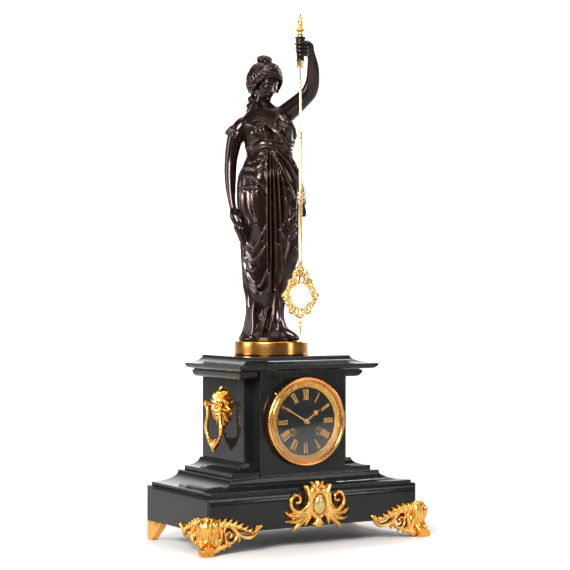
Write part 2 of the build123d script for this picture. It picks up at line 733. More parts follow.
def cornice_slab():
    """The top slab, rounded below and swept in above."""
    shoulder = CORNICE_Z + CORNICE_ROUND_H
    front = -CORNICE_FRONT
    wide = CORNICE_HALF + CORNICE_ROUND
    deep = front + CORNICE_ROUND
    knots = (
        (CORNICE_HALF, front, CORNICE_Z, "line"),
        (wide, deep, shoulder, "under"),
        (wide - CORNICE_SWEEP_SIDE, deep - CORNICE_SWEEP_FRONT, TOP_Z, "under"),
    )
    return moulded(knots, BODY_BACK) - bush_hole()


# Gilt mounts


def foot_arm(length):
    """The outline of one arm of a front foot, as (distance from the corner, z)."""
    tall = FOOT_H + FOOT_APEX_RISE
    return face_of(*[(length * s, tall * z) for s, z in FOOT_OUTLINE_SHARES])


def front_foot(side):
    """A scrolled foot that wraps the plinth's front corner and carries it."""
    face_y, face_x = PLINTH_FRONT, PLINTH_HALF
    front = Pos(face_x, 0, 0) * mirror(
        along_y(foot_arm(FOOT_ARM_FRONT), face_y - FOOT_PLATE_T, face_y), Plane.YZ
    )
    flank = Pos(0, face_y, 0) * along_x(foot_arm(FOOT_ARM_SIDE), face_x, face_x + FOOT_PLATE_T)
    toe_x = face_x + TOE_OUT_SIDE - TOE_R
    toe_y = -BACK_Y + TOE_R
    toe = rod_z(TOE_R, 0, TOE_H, toe_x, toe_y)
    ankle = loft([
        Pos(toe_x, toe_y, TOE_H) * Circle(TOE_R),
        Pos(face_x, face_y, FOOT_H) * Circle(TOE_R + FOOT_PLATE_T),
    ])
    knee = rod_z(TOE_R, FOOT_H, FOOT_H + FOOT_APEX_RISE, face_x - PLINTH_ARRIS, face_y + PLINTH_ARRIS)
    shelf = block(face_x - FOOT_SHELF, face_x, face_y, face_y + FOOT_SHELF, FOOT_H / 2, FOOT_H)
    slab = block(0, face_x, face_y, BACK_Y, FOOT_H, COVE_Z)
    foot = front + flank + toe + ankle + knee + shelf - slab
    reach = face_x + TOE_OUT_SIDE
    foot = foot & block(0, reach, -BACK_Y, BACK_Y, 0, COVE_Z)
    return foot if side > 0 else mirror(foot, Plane.YZ)


def rear_foot(side):
    """A plain bracket foot under the back corner."""
    half = (REAR_FOOT_TOP + REAR_FOOT_SOLE) / 2
    outline = make_face([
        Line((BACK_Y, 0), (BACK_Y, FOOT_H)),
        Line((BACK_Y, FOOT_H), (BACK_Y - REAR_FOOT_TOP, FOOT_H)),
        stretch((BACK_Y - REAR_FOOT_TOP, FOOT_H), (BACK_Y - half, FOOT_H / 2), "over"),
        stretch((BACK_Y - half, FOOT_H / 2), (BACK_Y - REAR_FOOT_SOLE, 0), "under"),
        Line((BACK_Y - REAR_FOOT_SOLE, 0), (BACK_Y, 0)),
    ])
    x0, x1 = sorted((side * PLINTH_HALF, side * (PLINTH_HALF - REAR_FOOT_T)))
    return along_x(outline, x0, x1)


def cartouche_middle():
    """Height of the middle of the mount's oval boss."""
    return PLINTH_Z - CARTOUCHE_DROP + CARTOUCHE_RISE


def front_mount():
    """The scrolled cartouche on the plinth's face, with a raised oval boss."""
    half = CARTOUCHE_W / 2
    foot = PLINTH_Z - CARTOUCHE_DROP
    right = [(half * x, foot + CARTOUCHE_H * z) for x, z in CARTOUCHE_SHARES]
    left = [(-x, z) for x, z in reversed(right[1:-1])]
    plate = along_y(face_of(*right, *left), PLINTH_FRONT - CARTOUCHE_T, PLINTH_FRONT)
    oval = Pos(0, cartouche_middle()) * Ellipse(BOSS_W / 2, BOSS_H / 2)
    boss = along_y(oval, PLINTH_FRONT - BOSS_T, PLINTH_FRONT)
    return plate + boss


def cabochon():
    """The polished oval stone set on the boss."""
    centre = (0, PLINTH_FRONT - BOSS_T, cartouche_middle())
    whole = egg(centre, (CABOCHON_W / 2, CABOCHON_OUT, CABOCHON_H / 2))
    reach = CABOCHON_H
    seat = PLINTH_FRONT - BOSS_T
    return whole & block(-reach, reach, seat - reach, seat, centre[2] - reach, centre[2] + reach)


def lion_mask(side):
    """A lion's head in high relief with a leafy mane, and the cross pin that the handle hangs on."""
    corners = []
    for step in range(2 * MASK_LEAVES):
        angle = math.pi * step / MASK_LEAVES
        reach = MASK_NOTCH_SHARE if step % 2 else 1
        corners.append((reach * MASK_W / 2 * math.cos(angle), reach * MASK_H / 2 * math.sin(angle)))
    mane = along_x(face_of(*corners), BODY_HALF, BODY_HALF + MASK_T)
    face = make_face([
        Line((0, 0), (MUZZLE_W / 2, 0)),
        EllipticalCenterArc((0, 0), MUZZLE_W / 2, MASK_OUT, arc_size=90),
        Line((0, MASK_OUT), (0, 0)),
    ])
    head = Pos(BODY_HALF, 0, 0) * Rot(0, 0, -90) * revolve(face, Axis.Y)
    reach = HANDLE_EYE_Y + HANDLE_EYE_L + FREE
    pin = rod_y(HANDLE_PIN_R, -reach - HANDLE_HEAD_L, reach + HANDLE_HEAD_L, HANDLE_X, HANDLE_RISE)
    knob = rod_y(HANDLE_HEAD_R, reach, reach + HANDLE_HEAD_L, HANDLE_X, HANDLE_RISE)
    mask = mane + head + pin + knob + mirror(knob, Plane.XZ)
    facing = Rot(0, 0, 0 if side > 0 else 180)
    return Pos(0, MASK_Y, MASK_Z) * facing * mask


def drop_handle(side):
    """A lyre-shaped loop with an eye at each end that turns on the mask's pin."""
    half = HANDLE_W / 2
    eye_out = HANDLE_EYE_Y + HANDLE_EYE_L
    outer = [(half * y, HANDLE_DROP * z) for y, z in HANDLE_OUTER_SHARES]
    inner = [(half * y, HANDLE_DROP * z) for y, z in HANDLE_INNER_SHARES]
    crotch = -HANDLE_DROP * HANDLE_CROTCH_SHARE
    right = make_face([
        Spline((eye_out, 0), *outer, (0, -HANDLE_DROP)),
        Line((0, -HANDLE_DROP), (0, crotch)),
        Spline((0, crotch), *reversed(inner), (HANDLE_EYE_Y, 0)),
        Line((HANDLE_EYE_Y, 0), (eye_out, 0)),
    ])
    arm = along_x(right, -HANDLE_T / 2, HANDLE_T / 2)
    arm = arm + rod_y(HANDLE_EYE_R, HANDLE_EYE_Y, eye_out)
    loop = arm + mirror(arm, Plane.XZ)
    loop = loop - rod_y(HANDLE_PIN_R + RUN, -eye_out - OVER, eye_out + OVER)
    return Pos(side * HANDLE_X, MASK_Y, HANDLE_Z) * loop


# Dial, bezel and hands
def dial():
    """The black dial with its winding holes and the feet that hold it to the movement."""
    disc = rod_y(DIAL_R, DIAL_FRONT, DIAL_BACK)
    for angle in DIAL_FOOT_ANGLES:
        reach = PLATE_R - PILLAR_R - DIAL_FOOT_R
        x = reach * math.cos(math.radians(angle))
        z = reach * math.sin(math.radians(angle))
        disc = disc + rod_y(DIAL_FOOT_R, DIAL_BACK, FRONT_PLATE_Y, x, z)
    disc = disc - rod_y(HOUR_PIPE_R + FREE, DIAL_FRONT - OVER, DIAL_BACK + OVER)
    for side in (-1, 1):
        hole = rod_y(WIND_HOLE_R, DIAL_FRONT - OVER, DIAL_BACK + OVER, side * WIND_X, -WIND_DROP)
        disc = disc - hole
    return Pos(0, 0, DIAL_Z) * disc


def dial_seat():
    """The fixed ring on the dial block: it carries the dial and the outer hinge knuckles."""
    ring = turned_y((
        (BORE_R + FREE, BLOCK_FRONT),
        (SEAT_R, BLOCK_FRONT),
        (SEAT_R, SEAT_FRONT),
        (BORE_R + FREE + SEAT_WALL, SEAT_FRONT),
        (BORE_R + FREE + SEAT_WALL, DIAL_BACK),
        (BORE_R + FREE, DIAL_BACK),
    ))
    half = KNUCKLE_L / 2
    for side in (-1, 1):
        low, high = sorted((side * (half + FREE), side * (half + FREE + KNUCKLE_L)))
        ring = ring + block(SEAT_R - SEAT_IN, HINGE_X, SEAT_FRONT, BLOCK_FRONT - FREE, low, high)
        ring = ring + rod_z(KNUCKLE_R, low, high, HINGE_X, HINGE_Y)
    reach = half + FREE + KNUCKLE_L
    ring = ring + rod_z(KNUCKLE_PIN_R, -reach, reach, HINGE_X, HINGE_Y)
    return Pos(0, 0, DIAL_Z) * ring


def bezel_ring():
    """The gilt rim that swings open, with its hinge knuckle and thumb tab."""
    back = SEAT_FRONT - FREE
    face = make_face([
        Line((SLIP_R, back), (BEZEL_R, back)),
        Line((BEZEL_R, back), (BEZEL_R, BEZEL_FRONT + BEZEL_ROUND)),
        stretch((BEZEL_R, BEZEL_FRONT + BEZEL_ROUND), (BEZEL_R - BEZEL_ROUND, BEZEL_FRONT), "over"),
        Line((BEZEL_R - BEZEL_ROUND, BEZEL_FRONT), (SLIP_R - BEZEL_LIP, BEZEL_FRONT)),
        Line((SLIP_R - BEZEL_LIP, BEZEL_FRONT), (SLIP_R - BEZEL_LIP, BEZEL_FRONT + BEZEL_LIP)),
        Line((SLIP_R - BEZEL_LIP, BEZEL_FRONT + BEZEL_LIP), (SLIP_R, BEZEL_FRONT + BEZEL_LIP)),
        Line((SLIP_R, BEZEL_FRONT + BEZEL_LIP), (SLIP_R, back)),
    ])
    ring = revolve(face, Axis.Y)
    half = KNUCKLE_L / 2
    ring = ring + block(BEZEL_R - BEZEL_ROUND, HINGE_X, HINGE_Y - KNUCKLE_R, back, -half, half)
    ring = ring + rod_z(KNUCKLE_R, -half, half, HINGE_X, HINGE_Y)
    ring = ring - rod_z(KNUCKLE_PIN_R + RUN, -half - OVER, half + OVER, HINGE_X, HINGE_Y)
    turn = math.radians(TAB_ANGLE)
    reach = BEZEL_R + TAB_OUT - TAB_R
    middle = (BEZEL_FRONT + back) / 2
    tab = rod_y(TAB_R, middle, back, reach * math.cos(turn), reach * math.sin(turn))
    ring = ring + (tab - rod_y(BEZEL_R, middle - OVER, back + OVER))
    return Pos(0, 0, DIAL_Z) * ring


def bezel_glass():
    """The flat glass held behind the rim's lip."""
    return rod_y(SLIP_R - RUN, BEZEL_FRONT + BEZEL_LIP, GLASS_BACK, z=DIAL_Z)


def bezel_slip():
    """The engine-turned ring that slopes in from the glass to the dial."""
    return turned_y((
        (DIAL_SIGHT_R, GLASS_BACK + SLIP_RISE),
        (SLIP_R - RUN, GLASS_BACK),
        (SLIP_R - RUN, GLASS_BACK + SLIP_T),
        (DIAL_SIGHT_R, GLASS_BACK + SLIP_RISE + SLIP_T),
    ), DIAL_Z)


def hand(length, bore, y0):
    """A hand drawn pointing up: boss, slim blade, open ring and pointed tip."""
    ring_z = length * HAND_LOOP_SHARE
    blade = face_of((-HAND_W / 2, 0), (HAND_W / 2, 0), (HAND_W / 4, ring_z), (-HAND_W / 4, ring_z))
    tip = face_of((-HAND_W / 2, ring_z), (HAND_W / 2, ring_z), (0, length))
    ring = Pos(0, ring_z) * (Circle(HAND_LOOP_R) - Circle(HAND_LOOP_R / 2))
    shape = Circle(HAND_BOSS_R) + blade + tip + ring - Circle(bore)
    return along_y(shape, y0, y0 + HAND_T)


def set_hand(shape, angle):
    """A hand turned to its hour."""
    return Pos(0, 0, DIAL_Z) * Rot(0, angle, 0) * shape


# Wheels of the trains
def toothed(teeth, module, wheel, phase):
    """A toothed outline: three half widths and three radii a tooth, with a tooth at the phase angle."""
    halves = WHEEL_HALF_SHARES if wheel else PINION_HALF_SHARES
    reaches = WHEEL_REACH_SHARES if wheel else PINION_REACH_SHARES
    pitch = 2 * math.pi / teeth
    corners = []
    for tooth in range(teeth):
        middle = phase + tooth * pitch
        flank = list(zip(halves, reaches))
        for half, reach in flank:
            corners.append((middle - half * pitch, teeth * module / 2 + reach * module))
        for half, reach in reversed(flank):
            corners.append((middle + half * pitch, teeth * module / 2 + reach * module))
    return face_of(*[(radius * math.cos(turn), radius * math.sin(turn)) for turn, radius in corners])


def mesh_distance(teeth_a, teeth_b, module):
    """Distance between the centres of two meshed wheels."""
    return (teeth_a + teeth_b) * module / 2


def direction(start, stop):
    """Angle of the line from one centre to another."""
    return math.atan2(stop[1] - start[1], stop[0] - start[0])


def meet(a, reach_a, b, reach_b, side):
    """The point at given distances from two centres, on the chosen side of the line a to b."""
    span = math.dist(a, b)
    along = (reach_a**2 - reach_b**2 + span**2) / (2 * span)
    across = side * math.sqrt(reach_a**2 - along**2)
    turn = direction(a, b)
    x = a[0] + along * math.cos(turn) - across * math.sin(turn)
    z = a[1] + along * math.sin(turn) + across * math.cos(turn)
    return (x, z)


CENTRE = (0, 0)
GOING = (WIND_X, -WIND_DROP)
STRIKE = (-WIND_X, -WIND_DROP)
SECOND = meet(
    CENTRE, mesh_distance(SECOND_TEETH, CENTRE_PINION_TEETH, SECOND_MODULE),
    GOING, mesh_distance(GREAT_TEETH, SECOND_PINION_TEETH, GREAT_MODULE), 1,
)
THIRD_REACH = mesh_distance(CENTRE_TEETH, THIRD_PINION_TEETH, CENTRE_MODULE)
THIRD = (
    THIRD_REACH * math.cos(math.radians(THIRD_ANGLE)),
    THIRD_REACH * math.sin(math.radians(THIRD_ANGLE)),
)
ESCAPE_REACH = mesh_distance(THIRD_TEETH, ESCAPE_PINION_TEETH, THIRD_MODULE)
ESCAPE = (0, THIRD[1] + math.sqrt(ESCAPE_REACH**2 - THIRD[0] ** 2))
PALLET = (0, ESCAPE[1] + PALLET_RISE)
MINUTE_POST = (0, -mesh_distance(CANNON_TEETH, MINUTE_TEETH, MINUTE_MODULE))
HAMMER = (-HAMMER_X, HAMMER_Z)


def driver(teeth, module, y0, y1, place, follower):
    """A toothed wheel with a tooth on the line to the wheel that it drives."""
    face = toothed(teeth, module, True, direction(place, follower))
    return Pos(place[0], 0, place[1]) * along_y(face, y0, y1)


def driven(teeth, module, y0, y1, place, maker):
    """A pinion with a space on the line to the wheel that drives it."""
    face = toothed(teeth, module, False, direction(place, maker) + math.pi / teeth)
    return Pos(place[0], 0, place[1]) * along_y(face, y0, y1)


def arbor(radius, start, stop, place):
    """A steel arbor along Y at a place on the movement."""
    return rod_y(radius, start, stop, place[0], place[1])


def in_case(shape):
    """A piece of the movement, lifted to the height of the dial's middle."""
    return Pos(0, 0, DIAL_Z) * shape


def pinion_span(wheel_y):
    """The stretch along Y that a pinion takes up round a wheel."""
    spare = (PINION_L - WHEEL_T) / 2
    return wheel_y - spare, wheel_y + WHEEL_T + spare


def great_y(front):
    """The stretch along Y of a barrel's toothed rim: at its front end or its back end."""
    if front:
        return BARREL_FRONT, BARREL_FRONT + GREAT_T
    return BARREL_BACK - GREAT_T, BARREL_BACK


def barrel(place, front, follower):
    """A spring barrel with its great wheel, free on the winding arbor."""
    y0, y1 = great_y(front)
    drum = arbor(BARREL_R, BARREL_FRONT, BARREL_BACK, place)
    drum = drum + driver(GREAT_TEETH, GREAT_MODULE, y0, y1, place, follower)
    return in_case(drum - arbor(WIND_R + RUN, BARREL_FRONT - OVER, BARREL_BACK + OVER, place))


def winding_arbor(place):
    """A barrel arbor with its ratchet wheel and the square that the key turns."""
    half = WIND_SQUARE / 2
    square = block(-half, half, DIAL_FRONT, FRONT_PLATE_Y, -half, half)
    shaft = Pos(place[0], 0, place[1]) * square
    shaft = shaft + arbor(WIND_R, FRONT_PLATE_Y - FREE, BARREL_BACK + FREE, place)
    shaft = shaft + arbor(WIND_PIVOT_R, BARREL_BACK, BACK_PLATE_BACK, place)
    ratchet = arbor(RATCHET_R, FRONT_PLATE_Y - FREE - RATCHET_T, FRONT_PLATE_Y - FREE, place)
    return in_case(shaft + ratchet)


def second_wheel():
    """The wheel between the going barrel and the centre wheel."""
    y0, y1 = great_y(False)
    wheel = driver(SECOND_TEETH, SECOND_MODULE, SECOND_WHEEL_Y, SECOND_WHEEL_Y + WHEEL_T, SECOND, CENTRE)
    wheel = wheel + driven(SECOND_PINION_TEETH, GREAT_MODULE, y0 - FREE, y1 + FREE, SECOND, GOING)
    return in_case(wheel + arbor(ARBOR_R, FRONT_PLATE_Y, BACK_PLATE_BACK, SECOND))


def centre_wheel():
    """The wheel that turns once an hour, on the long arbor that carries the minute hand."""
    wheel = driver(CENTRE_TEETH, CENTRE_MODULE, CENTRE_WHEEL_Y, CENTRE_WHEEL_Y + WHEEL_T, CENTRE, THIRD)
    y0, y1 = pinion_span(SECOND_WHEEL_Y)
    wheel = wheel + driven(CENTRE_PINION_TEETH, SECOND_MODULE, y0, y1, CENTRE, SECOND)
    wheel = wheel + arbor(CENTRE_R, FRONT_PLATE_Y - FREE, BACK_PLATE_BACK, CENTRE)
    return in_case(wheel + cannon_pinion())


def third_wheel():
    """The wheel between the centre wheel and the escape wheel."""
    wheel = driver(THIRD_TEETH, THIRD_MODULE, THIRD_WHEEL_Y, THIRD_WHEEL_Y + WHEEL_T, THIRD, ESCAPE)
    y0, y1 = pinion_span(CENTRE_WHEEL_Y)
    wheel = wheel + driven(THIRD_PINION_TEETH, CENTRE_MODULE, y0, y1, THIRD, CENTRE)
    return in_case(wheel + arbor(ARBOR_R, FRONT_PLATE_Y, BACK_PLATE_BACK, THIRD))


def escape_y():
    """The stretch along Y that the escape wheel takes up."""
    return BARREL_BACK - WHEEL_T, BARREL_BACK


def escape_wheel():
    """The escape wheel with its pointed teeth."""
    y0, y1 = escape_y()
    corners = []
    for step in range(2 * ESCAPE_TEETH):
        turn = math.pi * step / ESCAPE_TEETH
        reach = ESCAPE_R * ESCAPE_ROOT_SHARE if step % 2 else ESCAPE_R
        corners.append((reach * math.cos(turn), reach * math.sin(turn)))
    wheel = Pos(ESCAPE[0], 0, ESCAPE[1]) * along_y(face_of(*corners), y0, y1)
    y0, y1 = pinion_span(THIRD_WHEEL_Y)
    wheel = wheel + driven(ESCAPE_PINION_TEETH, THIRD_MODULE, y0, y1, ESCAPE, THIRD)
    return in_case(wheel + arbor(ARBOR_R, FRONT_PLATE_Y, BACK_PLATE_BACK, ESCAPE))


def motion_y():
    """The stretches along Y of the minute wheel and of the hour wheel."""
    back = FRONT_PLATE_Y - LEVEL_STEP + WHEEL_T + WHEEL_T
    front = DIAL_BACK + FREE + FREE
    return (back - WHEEL_T, back), (front, front + WHEEL_T)


def cannon_pinion():
    """The end of the centre arbor that carries the minute hand and starts the motion work."""
    y0, y1 = motion_y()[0]
    pipe = rod_y(CANNON_R, MINUTE_HAND_Y, FRONT_PLATE_Y - FREE)
    pipe = pipe + driven(CANNON_TEETH, MINUTE_MODULE, y0 - FREE, y1 + FREE, CENTRE, MINUTE_POST)
    return pipe


def minute_wheel():
    """The wheel and pinion that take the motion from the cannon pinion to the hour wheel."""
    (y0, y1), (y2, _) = motion_y()
    wheel = driver(MINUTE_TEETH, MINUTE_MODULE, y0, y1, MINUTE_POST, CENTRE)
    pinion = driven(MINUTE_PINION_TEETH, HOUR_MODULE, y2, y0, MINUTE_POST, CENTRE)
    return in_case(wheel + pinion - arbor(POST_R + RUN, y2 - OVER, y1 + OVER, MINUTE_POST))


def hour_wheel():
    """The wheel and pipe that carry the hour hand round the cannon pinion."""
    y2, y3 = motion_y()[1]
    wheel = driver(HOUR_TEETH, HOUR_MODULE, y2, y3, CENTRE, MINUTE_POST)
    wheel = wheel + rod_y(HOUR_PIPE_R, HOUR_HAND_Y, y3)
    return in_case(wheel - rod_y(CANNON_R + RUN, HOUR_HAND_Y - OVER, y3 + OVER))


# Movement frame
def pivot_holes(y0, y1, pivots):
    """Pivot holes through a plate."""
    holes = [arbor(radius + RUN, y0 - OVER, y1 + OVER, place) for place, radius in pivots]
    return holes


TRAIN_PIVOTS = (
    (SECOND, ARBOR_R), (THIRD, ARBOR_R), (ESCAPE, ARBOR_R), (PALLET, ARBOR_R),
    (CENTRE, CENTRE_R), (HAMMER, HAMMER_ARBOR_R),
)


def front_plate():
    """The movement's front plate with the post that the minute wheel turns on."""
    y0, y1 = FRONT_PLATE_Y, FRONT_PLATE_BACK
    plate = rod_y(PLATE_R, y0, y1) + arbor(POST_R, motion_y()[1][0], y0, MINUTE_POST)
    for hole in pivot_holes(y0, y1, (*TRAIN_PIVOTS, (GOING, WIND_R), (STRIKE, WIND_R))):
        plate = plate - hole
    return in_case(plate)


def back_plate():
    """The movement's back plate."""
    y0, y1 = BACK_PLATE_Y, BACK_PLATE_BACK
    plate = rod_y(PLATE_R, y0, y1)
    for hole in pivot_holes(y0, y1, (*TRAIN_PIVOTS, (GOING, WIND_PIVOT_R), (STRIKE, WIND_PIVOT_R))):
        plate = plate - hole
    return in_case(plate)


def plate_pillars():
    """The turned pillars that hold the plates apart."""
    pillars = []
    for angle in PILLAR_ANGLES:
        turn = math.radians(angle)
        place = (PILLAR_CIRCLE_R * math.cos(turn), PILLAR_CIRCLE_R * math.sin(turn))
        pillars.append(in_case(arbor(PILLAR_R, FRONT_PLATE_BACK, BACK_PLATE_Y, place)))
    return Compound(children=pillars)


def case_straps():
    """The two straps that draw the dial ring and the rear ring together through the case."""
    middle = PLATE_R + BORE_GAP / 2
    straps = []
    for side in (-1, 1):
        x0, x1 = sorted((side * (middle - STRAP_T / 2), side * (middle + STRAP_T / 2)))
        strap = block(x0, x1, DIAL_BACK, BODY_BACK, -STRAP_W / 2, STRAP_W / 2)
        straps.append(in_case(strap))
    return Compound(children=straps)


# Escapement, strike and rear door
def crutch():
    """Pallets, their arbor and the forked crutch that nudges the turntable's arm."""
    y0, y1 = escape_y()
    shaft = arbor(ARBOR_R, FRONT_PLATE_Y, CRUTCH_Y + CRUTCH_T, PALLET)
    anchor = along_y(face_of(
        (-PALLET_SPAN, PALLET[1] - PALLET_DROP),
        (-PALLET_SPAN + PALLET_T, PALLET[1] - PALLET_DROP),
        (-PALLET_SPAN + PALLET_T, PALLET[1] - PALLET_W / 2),
        (PALLET_SPAN - PALLET_T, PALLET[1] - PALLET_W / 2),
        (PALLET_SPAN - PALLET_T, PALLET[1] - PALLET_DROP),
        (PALLET_SPAN, PALLET[1] - PALLET_DROP),
        (PALLET_SPAN, PALLET[1] + PALLET_W / 2),
        (-PALLET_SPAN, PALLET[1] + PALLET_W / 2),
    ), y0, y1)
    top = CRUTCH_TOP
    stem = block(-CRUTCH_W / 2, CRUTCH_W / 2, CRUTCH_Y, CRUTCH_Y + CRUTCH_T, PALLET[1], top)
    head = block(-FORK_W / 2, FORK_W / 2, CRUTCH_Y, CRUTCH_Y + CRUTCH_T, top - FORK_DEEP, top)
    gap = ARM_W / 2 + FREE
    slot = block(-gap, gap, CRUTCH_Y - OVER, CRUTCH_Y + CRUTCH_T + OVER, ARM_Z - DIAL_Z - FREE, top + OVER)
    return in_case(shaft + anchor + stem + head - slot)


def bell():
    """The bell: a shallow cup with its mouth towards the movement."""
    mouth = BACK_PLATE_BACK + BELL_BACK
    crown = mouth + BELL_DEEP
    inner_crown = crown - BELL_T
    inner = BELL_R - BELL_T
    face = make_face([
        Line((BELL_POST_R, crown), (BELL_POST_R, inner_crown)),
        EllipticalCenterArc((0, mouth), inner, BELL_DEEP - BELL_T, arc_size=BELL_SHOULDER),
        Line((BELL_POST_R, inner_crown), inner_point(inner, BELL_DEEP - BELL_T, mouth)),
        Line((inner, mouth), (BELL_R, mouth)),
        EllipticalCenterArc((0, mouth), BELL_R, BELL_DEEP, arc_size=BELL_SHOULDER),
        Line(inner_point(BELL_R, BELL_DEEP, mouth), (BELL_POST_R, crown)),
    ])
    return in_case(revolve(face, Axis.Y))


def inner_point(wide, deep, mouth):
    """The point where the bell's curved side meets its flat crown."""
    turn = math.radians(BELL_SHOULDER)
    return (wide * math.cos(turn), mouth + deep * math.sin(turn))


def bell_stand():
    """The post from the back plate that holds the bell by its crown."""
    crown = BACK_PLATE_BACK + BELL_BACK + BELL_DEEP
    post = rod_y(BELL_POST_R, BACK_PLATE_BACK, crown + BELL_T)
    nut = rod_y(BELL_POST_R * 2, crown, crown + BELL_T)
    return in_case(post + nut)


def hammer():
    """The strike hammer on its arbor, with its head beside the bell's rim."""
    back = BACK_PLATE_BACK + BELL_BACK - FREE
    front = back - 2 * HAMMER_ROD_R
    rest = math.radians(HAMMER_REST_ANGLE)
    reach = BELL_R + FREE + FREE + HAMMER_HEAD_R
    place = (reach * math.cos(rest), reach * math.sin(rest))
    lean = math.degrees(direction(HAMMER, place))
    rod = Rot(0, 90 - lean, 0) * rod_z(HAMMER_ROD_R, 0, math.dist(place, HAMMER))
    rod = Pos(HAMMER[0], back - HAMMER_ROD_R, HAMMER[1]) * rod
    head = arbor(HAMMER_HEAD_R, front, back + HAMMER_HEAD_L, place)
    return in_case(arbor(HAMMER_ARBOR_R, FRONT_PLATE_Y, back, HAMMER) + rod + head)


def rear_ring():
    """The fixed ring round the rear opening, with the hinge pin of the door."""
    rim = REAR_HOLE_R + REAR_RING_OUT + BORE_GAP
    ring = turned_y((
        (REAR_HOLE_R, BODY_BACK),
        (rim, BODY_BACK),
        (rim, REAR_RING_BACK),
        (REAR_HOLE_R, REAR_RING_BACK),
    ))
    half = KNUCKLE_L / 2
    room = KNUCKLE_R + FREE
    near = REAR_HINGE_X - room
    ring = ring - block(near, rim + OVER, BODY_BACK - OVER, REAR_RING_BACK + OVER, -half - FREE, half + FREE)
    for side in (-1, 1):
        low, high = sorted((side * (half + FREE), side * (half + FREE + KNUCKLE_L)))
        ring = ring + block(near, REAR_HINGE_X, BODY_BACK + FREE, REAR_RING_BACK, low, high)
        ring = ring + rod_z(KNUCKLE_R, low, high, REAR_HINGE_X, REAR_HINGE_Y)
    reach = half + FREE + KNUCKLE_L
    return in_case(ring + rod_z(KNUCKLE_PIN_R, -reach, reach, REAR_HINGE_X, REAR_HINGE_Y))


def rear_door():
    """The round brass door with a ring of sound holes and its hinge knuckle."""
    stop = REAR_DOOR_Y + REAR_DOOR_T
    half = KNUCKLE_L / 2
    door = rod_y(REAR_DOOR_R, REAR_DOOR_Y, stop)
    for step in range(REAR_PIERCES):
        turn = 2 * math.pi * step / REAR_PIERCES
        place = (REAR_PIERCE_CIRCLE_R * math.cos(turn), REAR_PIERCE_CIRCLE_R * math.sin(turn))
        door = door - arbor(REAR_PIERCE_R, REAR_DOOR_Y - OVER, stop + OVER, place)
    door = door + block(REAR_DOOR_R - OVER, REAR_HINGE_X, REAR_DOOR_Y, stop, -half, half)
    door = door + rod_z(KNUCKLE_R, -half, half, REAR_HINGE_X, REAR_HINGE_Y)
    return in_case(door - rod_z(KNUCKLE_PIN_R + RUN, -half - OVER, half + OVER, REAR_HINGE_X, REAR_HINGE_Y))


# Turntable
def spindle_bush():
    """The bush in the top of the case that the turntable's spindle turns in."""
    bush = rod_z(BUSH_R, BED_Z, TOP_Z, y=TURN_Y)
    bush = bush + rod_z(BUSH_FLANGE_R, TOP_Z, TOP_Z + BUSH_FLANGE_T, y=TURN_Y)
    return bush - rod_z(SPINDLE_R + RUN, BED_Z - OVER, TOP_Z + BUSH_FLANGE_T + OVER, y=TURN_Y)


def turn_spindle():
    """The spindle under the turntable and the arm that the crutch pushes."""
    foot = ARM_Z
    hub = TOP_Z + BUSH_FLANGE_T + RUN
    spindle = rod_z(SPINDLE_R, foot, hub, y=TURN_Y)
    spindle = spindle + rod_z(SPINDLE_HUB_R, hub, DRUM_Z + DRUM_H - DRUM_WALL, y=TURN_Y)
    tip = CRUTCH_Y - CRUTCH_T
    arm = block(-ARM_W / 2, ARM_W / 2, tip, TURN_Y, ARM_Z, ARM_Z + ARM_H)
    return spindle + arm


def turntable_drum():
    """The gilt drum under the figure, recessed below, with a fine bead near its foot."""
    top = DRUM_Z + DRUM_H
    bead = DRUM_Z + DRUM_EDGE
    return turned_z((
        (0, top),
        (DRUM_R - DRUM_EDGE, top),
        (DRUM_R, top - DRUM_EDGE),
        (DRUM_R, bead + DRUM_EDGE + DRUM_EDGE),
        (DRUM_R - DRUM_EDGE / 2, bead + DRUM_EDGE),
        (DRUM_R, bead),
        (DRUM_R, DRUM_Z),
        (DRUM_RECESS_R, DRUM_Z),
        (DRUM_RECESS_R, top - DRUM_WALL),
        (0, top - DRUM_WALL),
    ), y=TURN_Y)


# Figure
def figure_place():
    """Where the figure stands, turned towards the clock's front left."""
    return Pos(0, TURN_Y, FIGURE_Z) * Rot(0, 0, FIGURE_TURN)


def to_figure(x, y, z):
    """A point of the clock, as the figure's own sideways, backward and upward distances."""
    turn = math.radians(-FIGURE_TURN)
    dx, dy = x, y - TURN_Y
    side = dx * math.cos(turn) - dy * math.sin(turn)
    back = dx * math.sin(turn) + dy * math.cos(turn)
    return (side, back, z - FIGURE_Z)


def sized(shares):
    """Shares of the figure's height as real sizes."""
    return tuple(FIGURE_H * share for share in shares)


def crest(points, z):
    """How far sideways a fold's crest lies at a height, or nothing where the fold doesn't reach."""
    for (x0, z0), (x1, z1) in zip(points, points[1:]):
        if min(z0, z1) <= z <= max(z0, z1):
            return x0 + (x1 - x0) * (z - z0) / (z1 - z0)
    return None


def front_relief(x, z):
    """How far the body's forms and main folds stand out on the front, all in shares of its height."""
    out = 0
    for form_x, form_z, wide, tall, high in BODY_FORM_SHARES:
        out += high * math.exp(-((x - form_x) / wide) ** 2 - ((z - form_z) / tall) ** 2)
    for points, wide, high in BODY_FOLD_SHARES:
        place = crest(points, z)
        if place is not None:
            out += high * max(0, 1 - abs(x - place) / (2 * wide)) ** 2
    return out


